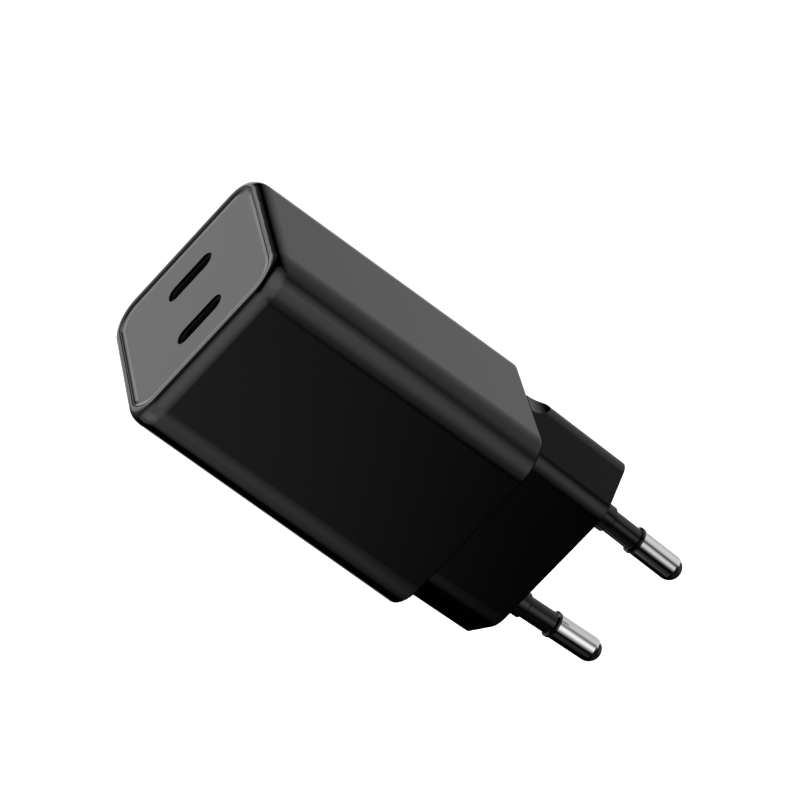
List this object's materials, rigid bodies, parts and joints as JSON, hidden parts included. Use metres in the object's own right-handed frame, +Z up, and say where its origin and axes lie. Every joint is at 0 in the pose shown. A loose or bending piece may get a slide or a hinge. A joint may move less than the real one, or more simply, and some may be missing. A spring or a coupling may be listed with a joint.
{
  "type": "usb wall charger",
  "caption": "Black rounded-box wall charger with two USB-C ports in a recessed end plate and a flat plug with two round sleeved pins at the other end.",
  "frame": {"origin": "centre of the plug face, midway between the two pins", "axes": "+Y the way the pins point, the ports face -Y; X from pin to pin; +Z up when the charger lies on its broad side"},
  "size_m": [0.0352, 0.0865, 0.0316],
  "materials": {
    "housing_black": "black moulded polycarbonate, fine satin",
    "plate_charcoal": "dark charcoal, smooth satin gloss",
    "sleeve_black": "black nylon",
    "pin_nickel": "nickel-plated brass, polished",
    "brass_strip": "bare strip",
    "port_steel": "dark nickel-plated steel",
    "port_black": "black liquid-crystal polymer",
    "gold_contact": "gold plated",
    "board_green": "solder mask over glass-epoxy board",
    "chip_black": "moulded epoxy",
    "ferrite": "sintered grey ferrite",
    "copper_wire": "enamelled copper wire",
    "tape_yellow": "polyester tape",
    "bobbin_plastic": "phenolic",
    "can_aluminium": "sleeved aluminium can",
    "film_yellow": "moulded film-capacitor case",
    "disc_blue": "epoxy dip coating",
    "disc_green": "epoxy dip coating",
    "fuse_brown": "moulded fuse body",
    "spreader_aluminium": "bent sheet",
    "insulating_film": "polyester film",
    "thermal_grey": "soft silicone gap filler"
  },
  "bodies": {
    "root": {"board_header": "chip_black", "bridge_rectifier": "chip_black", "bulk_capacitor_front": "can_aluminium", "bulk_capacitor_rear": "can_aluminium", "choke_base": "bobbin_plastic", "choke_coil_left": "copper_wire", "choke_coil_right": "copper_wire", "choke_core": "ferrite", "front_plate": "plate_charcoal", "fuse": "fuse_brown", "gan_controller": "chip_black", "heat_spreader": "spreader_aluminium", "insulating_sleeve": "insulating_film", "left_contact": "brass_strip", "left_pin": "pin_nickel", "left_pin_sleeve": "sleeve_black", "lower_usb_contacts": "gold_contact", "lower_usb_shell": "port_steel", "lower_usb_tongue": "port_black", "main_board": "board_green", "main_housing": "housing_black", "optocoupler": "chip_black", "output_capacitor_left": "can_aluminium", "output_capacitor_right": "can_aluminium", "pin_retainer": "bobbin_plastic", "plug_base": "housing_black", "port_board": "board_green", "protocol_controller": "chip_black", "right_contact": "brass_strip", "right_pin": "pin_nickel", "right_pin_sleeve": "sleeve_black", "sync_rectifier": "chip_black", "thermal_pad": "thermal_grey", "thermistor": "disc_green", "transformer_bobbin": "bobbin_plastic", "transformer_core_lower": "ferrite", "transformer_core_upper": "ferrite", "transformer_tape": "tape_yellow", "transformer_winding": "copper_wire", "upper_usb_contacts": "gold_contact", "upper_usb_shell": "port_steel", "upper_usb_tongue": "port_black", "varistor": "disc_blue", "x_capacitor": "film_yellow", "y_capacitor": "disc_blue"}
  },
  "joints": []
}
